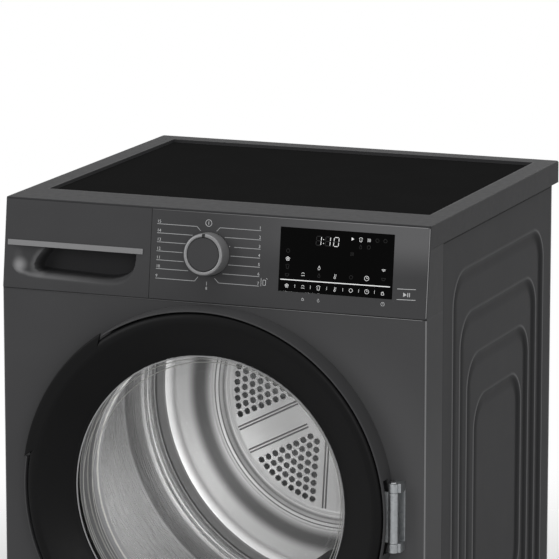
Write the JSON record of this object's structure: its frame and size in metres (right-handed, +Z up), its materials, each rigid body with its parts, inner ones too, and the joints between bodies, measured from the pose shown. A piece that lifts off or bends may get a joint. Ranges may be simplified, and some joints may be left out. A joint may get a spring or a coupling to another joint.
{
  "type": "clothes dryer",
  "caption": "Free-standing heat pump clothes dryer, dark grey, with a round door and glass window, a dial, a display, a water tank drawer and pressed side panels.",
  "frame": {"origin": "centre of the footprint, at floor level", "axes": "+X to the right seen from the front, the door faces -Y, +Z up"},
  "size_m": [0.597, 0.609, 0.846],
  "materials": {
    "body_paint": "satin dark grey enamel",
    "body_plastic": "satin dark grey",
    "worktop_black": "gloss black",
    "display_black": "gloss black",
    "door_black": "satin black",
    "inner_black": "matt black",
    "trim_grey": "satin silver grey",
    "steel": "stainless, satin",
    "zinc": "zinc plated",
    "white_plastic": "moulded",
    "rubber": "matt",
    "felt": "felt",
    "glass": "clear",
    "copper": "finned coil",
    "fin_aluminium": "finned coil",
    "board_green": "circuit board"
  },
  "bodies": {
    "cabinet": {"worktop_frame": "body_plastic", "worktop_panel": "worktop_black", "side_panel_left": "body_paint", "side_panel_right": "body_paint", "front_panel": "body_paint", "plinth": "body_plastic", "control_fascia": "body_plastic", "display_window": "display_black", "control_board": "board_green", "tank_housing": "white_plastic", "door_seal": "rubber", "hinge_bracket": "zinc", "hinge_pin": "steel", "latch_housing": "inner_black", "front_bulkhead": "white_plastic", "drum_seal": "felt", "roller_axle_left": "steel", "roller_axle_right": "steel", "base_tray": "inner_black", "evaporator_coil": "fin_aluminium", "condenser_coil": "copper", "compressor": "inner_black", "drain_pump": "inner_black", "drum_belt": "rubber", "motor": "zinc", "fan_housing": "white_plastic", "rear_panel": "body_paint", "rear_cover": "body_paint", "bearing_bracket": "zinc", "shaft_bush": "inner_black", "cord_gland": "inner_black"},
    "door": {"door_ring": "body_plastic", "door_bezel": "door_black", "door_window": "glass", "door_frame": "inner_black", "hinge_arm": "zinc"},
    "knob": {"knob_ring": "trim_grey", "knob_disc": "body_plastic"},
    "tank_drawer": {"tank_drawer_front": "body_plastic", "drawer_trim": "trim_grey", "water_tank": "white_plastic", "water_tank_lid": "white_plastic"},
    "filter": {"lint_filter": "inner_black"},
    "drum": {"drum_shell": "steel", "drum_back": "steel", "drum_lifter_1": "body_plastic", "drum_lifter_2": "body_plastic", "drum_lifter_3": "body_plastic", "drum_shaft": "steel"},
    "rotor": {"motor_shaft": "steel", "fan_impeller": "inner_black"},
    "roller_left": {"drum_roller_left": "inner_black"},
    "roller_right": {"drum_roller_right": "inner_black"},
    "idler": {"idler_arm": "zinc"},
    "idler_wheel": {"idler_pulley": "white_plastic"},
    "flap": {"service_flap": "body_plastic"},
    "levelling_foot_1": {"foot_1": "rubber"},
    "levelling_foot_2": {"foot_2": "rubber"},
    "levelling_foot_3": {"foot_3": "rubber"},
    "levelling_foot_4": {"foot_4": "rubber"}
  },
  "joints": [
    {"name": "door_hinge", "type": "hinge", "parent": "cabinet", "child": "door", "pos_m": [0.262, -0.2895, 0.467], "axis": [0, 0, 1], "range_deg": [0, 160]},
    {"name": "knob_turn", "type": "hinge", "parent": "cabinet", "child": "knob", "pos_m": [-0.005, -0.26239, 0.79024], "axis": [0, -0.992, 0.1264], "continuous": true},
    {"name": "tank_slide", "type": "slide", "parent": "cabinet", "child": "tank_drawer", "axis": [0, -1, 0], "range_m": [0, 0.4]},
    {"name": "filter_slide", "type": "slide", "parent": "cabinet", "child": "filter", "axis": [0, 0, 1], "range_m": [0, 0.12]},
    {"name": "drum_spin", "type": "hinge", "parent": "cabinet", "child": "drum", "pos_m": [0, 0, 0.497], "axis": [0, 1, 0], "continuous": true},
    {"name": "rotor_spin", "type": "hinge", "parent": "cabinet", "child": "rotor", "pos_m": [0.19, 0, 0.11], "axis": [0, 1, 0], "continuous": true},
    {"name": "roller_left_spin", "type": "hinge", "parent": "cabinet", "child": "roller_left", "pos_m": [-0.14815, 0, 0.2404], "axis": [0, 1, 0], "continuous": true},
    {"name": "roller_right_spin", "type": "hinge", "parent": "cabinet", "child": "roller_right", "pos_m": [0.14815, 0, 0.2404], "axis": [0, 1, 0], "continuous": true},
    {"name": "idler_swing", "type": "hinge", "parent": "cabinet", "child": "idler", "pos_m": [-0.03, 0, 0.11], "axis": [0, 1, 0], "range_deg": [0, 12]},
    {"name": "idler_spin", "type": "hinge", "parent": "idler", "child": "idler_wheel", "pos_m": [0.02383, 0, 0.15543], "axis": [0, 1, 0], "continuous": true},
    {"name": "flap_hinge", "type": "hinge", "parent": "cabinet", "child": "flap", "pos_m": [-0.158, -0.2645, 0.04], "axis": [1, 0, 0], "range_deg": [0, 90]},
    {"name": "foot_1_screw", "type": "slide", "parent": "cabinet", "child": "levelling_foot_1", "axis": [0, 0, -1], "range_m": [0, 0.012]},
    {"name": "foot_2_screw", "type": "slide", "parent": "cabinet", "child": "levelling_foot_2", "axis": [0, 0, -1], "range_m": [0, 0.012]},
    {"name": "foot_3_screw", "type": "slide", "parent": "cabinet", "child": "levelling_foot_3", "axis": [0, 0, -1], "range_m": [0, 0.012]},
    {"name": "foot_4_screw", "type": "slide", "parent": "cabinet", "child": "levelling_foot_4", "axis": [0, 0, -1], "range_m": [0, 0.012]}
  ],
  "couplings": [
    {"joint": "rotor_spin", "follows": "drum_spin", "ratio": 29.053},
    {"joint": "roller_left_spin", "follows": "drum_spin", "ratio": -13.8},
    {"joint": "roller_right_spin", "follows": "drum_spin", "ratio": -13.8},
    {"joint": "idler_spin", "follows": "drum_spin", "ratio": -15.333}
  ]
}
